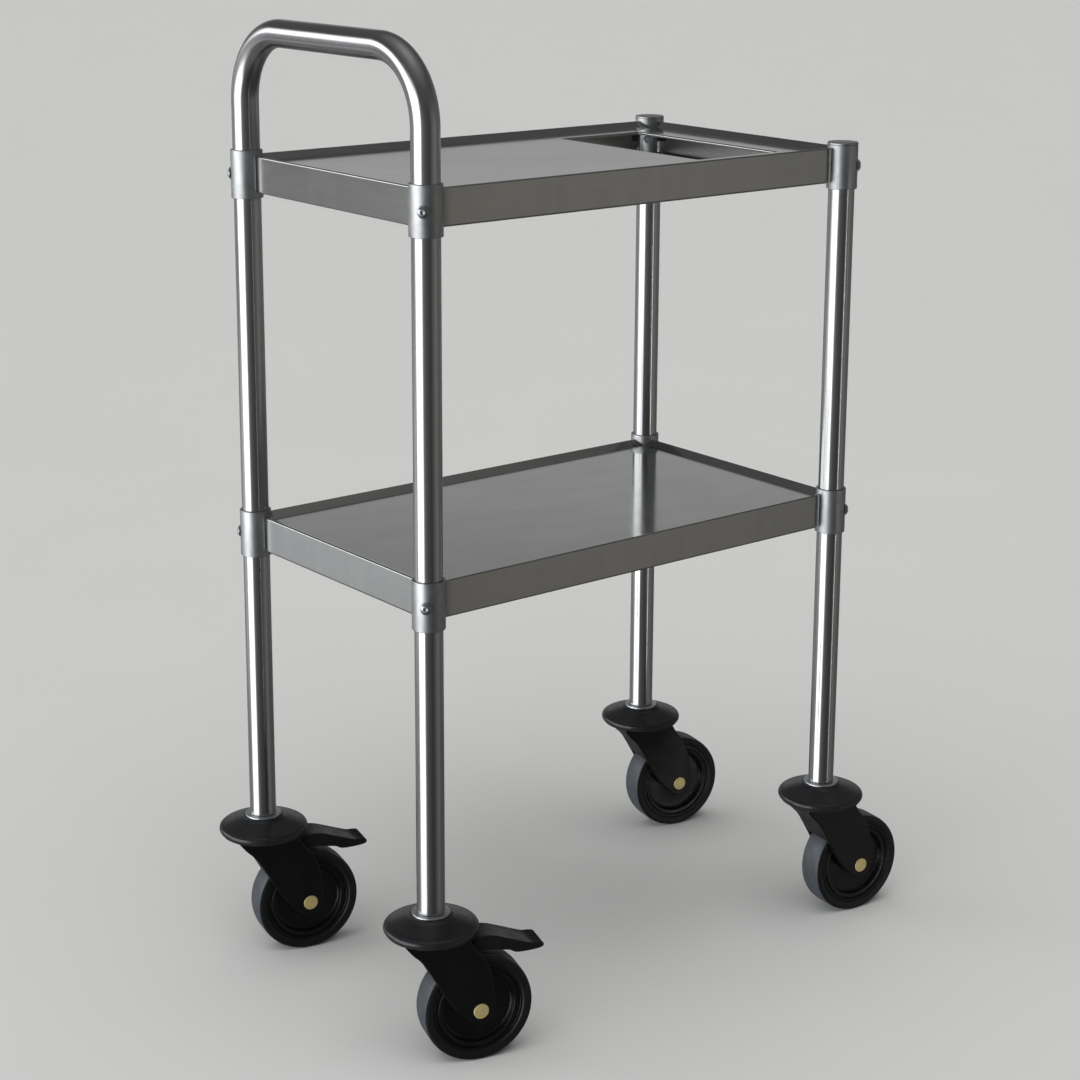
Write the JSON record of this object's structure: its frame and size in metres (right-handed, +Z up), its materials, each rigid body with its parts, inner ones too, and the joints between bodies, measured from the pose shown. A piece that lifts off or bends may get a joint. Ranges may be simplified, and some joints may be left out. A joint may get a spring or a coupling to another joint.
{
  "type": "instrument cart",
  "caption": "Two-shelf stainless steel instrument cart with a bent-tube push handle, a cut-out in the upper shelf and braked swivel casters.",
  "frame": {"origin": "on the floor, under the middle of the whole cart", "axes": "+Z up, +X from the handle end towards the front, +Y to the left of a person pushing the cart"},
  "size_m": [0.6193, 0.3656, 0.9105],
  "materials": {
    "polished_steel": "satin polished stainless tube, fine grain along the tube",
    "satin_steel": "matt bead-blasted stainless",
    "sheet_steel": "smooth cold rolled sheet, skirts brushed lengthwise",
    "zinc": "blue-white zinc plate",
    "brass": "yellow passivated, matt",
    "black_plastic": "black moulded plastic, satin",
    "grey_plastic": "grey moulded plastic",
    "rubber": "blue-black rubber, matt"
  },
  "bodies": {
    "frame": {"handle_tube": "polished_steel", "leg_tube_front_right": "polished_steel", "leg_tube_front_left": "polished_steel", "upper_shelf": "sheet_steel", "lower_shelf": "sheet_steel", "collar_upper_rear_left": "satin_steel", "bolt_upper_rear_left": "polished_steel", "collar_lower_rear_left": "satin_steel", "bolt_lower_rear_left": "polished_steel", "stem_socket_rear_left": "grey_plastic", "stem_rear_left": "zinc", "washer_rear_left": "zinc", "collar_upper_rear_right": "satin_steel", "bolt_upper_rear_right": "polished_steel", "collar_lower_rear_right": "satin_steel", "bolt_lower_rear_right": "polished_steel", "stem_socket_rear_right": "grey_plastic", "stem_rear_right": "zinc", "washer_rear_right": "zinc", "collar_upper_front_right": "satin_steel", "bolt_upper_front_right": "polished_steel", "collar_lower_front_right": "satin_steel", "bolt_lower_front_right": "polished_steel", "cap_front_right": "satin_steel", "stem_socket_front_right": "grey_plastic", "stem_front_right": "zinc", "washer_front_right": "zinc", "collar_upper_front_left": "satin_steel", "bolt_upper_front_left": "polished_steel", "collar_lower_front_left": "satin_steel", "bolt_lower_front_left": "polished_steel", "cap_front_left": "satin_steel", "stem_socket_front_left": "grey_plastic", "stem_front_left": "zinc", "washer_front_left": "zinc"},
    "caster_rear_left": {"bumper_rear_left": "black_plastic", "fork_rear_left": "black_plastic", "axle_rear_left": "brass", "pedal_pin_rear_left": "zinc"},
    "wheel_rear_left": {"hub_rear_left": "black_plastic", "tyre_rear_left": "rubber"},
    "brake_rear_left": {"pedal_rear_left": "black_plastic"},
    "caster_rear_right": {"bumper_rear_right": "black_plastic", "fork_rear_right": "black_plastic", "axle_rear_right": "brass", "pedal_pin_rear_right": "zinc"},
    "wheel_rear_right": {"hub_rear_right": "black_plastic", "tyre_rear_right": "rubber"},
    "brake_rear_right": {"pedal_rear_right": "black_plastic"},
    "caster_front_right": {"bumper_front_right": "black_plastic", "fork_front_right": "black_plastic", "axle_front_right": "brass"},
    "wheel_front_right": {"hub_front_right": "black_plastic", "tyre_front_right": "rubber"},
    "caster_front_left": {"bumper_front_left": "black_plastic", "fork_front_left": "black_plastic", "axle_front_left": "brass"},
    "wheel_front_left": {"hub_front_left": "black_plastic", "tyre_front_left": "rubber"}
  },
  "joints": [
    {"name": "swivel_rear_left", "type": "hinge", "parent": "frame", "child": "caster_rear_left", "pos_m": [-0.2665, 0.139, 0.126], "axis": [0, 0, 1], "continuous": true},
    {"name": "spin_rear_left", "type": "hinge", "parent": "caster_rear_left", "child": "wheel_rear_left", "pos_m": [-0.22767, 0.12939, 0.051], "axis": [0.2402, 0.9707, 0], "continuous": true},
    {"name": "brake_rear_left", "type": "hinge", "parent": "caster_rear_left", "child": "brake_rear_left", "pos_m": [-0.23738, 0.13179, 0.1095], "axis": [0.2402, 0.9707, 0], "range_deg": [0, 10]},
    {"name": "swivel_rear_right", "type": "hinge", "parent": "frame", "child": "caster_rear_right", "pos_m": [-0.2665, -0.139, 0.126], "axis": [0, 0, 1], "continuous": true},
    {"name": "spin_rear_right", "type": "hinge", "parent": "caster_rear_right", "child": "wheel_rear_right", "pos_m": [-0.22846, -0.15136, 0.051], "axis": [0.309, 0.9511, 0], "continuous": true},
    {"name": "brake_rear_right", "type": "hinge", "parent": "caster_rear_right", "child": "brake_rear_right", "pos_m": [-0.23797, -0.14827, 0.1095], "axis": [0.309, 0.9511, 0], "range_deg": [0, 10]},
    {"name": "swivel_front_right", "type": "hinge", "parent": "frame", "child": "caster_front_right", "pos_m": [0.2185, -0.139, 0.126], "axis": [0, 0, 1], "continuous": true},
    {"name": "spin_front_right", "type": "hinge", "parent": "caster_front_right", "child": "wheel_front_right", "pos_m": [0.25815, -0.14429, 0.051], "axis": [0.1323, 0.9912, 0], "continuous": true},
    {"name": "swivel_front_left", "type": "hinge", "parent": "frame", "child": "caster_front_left", "pos_m": [0.2185, 0.139, 0.126], "axis": [0, 0, 1], "continuous": true},
    {"name": "spin_front_left", "type": "hinge", "parent": "caster_front_left", "child": "wheel_front_left", "pos_m": [0.25763, 0.13068, 0.051], "axis": [0.2079, 0.9781, 0], "continuous": true}
  ]
}
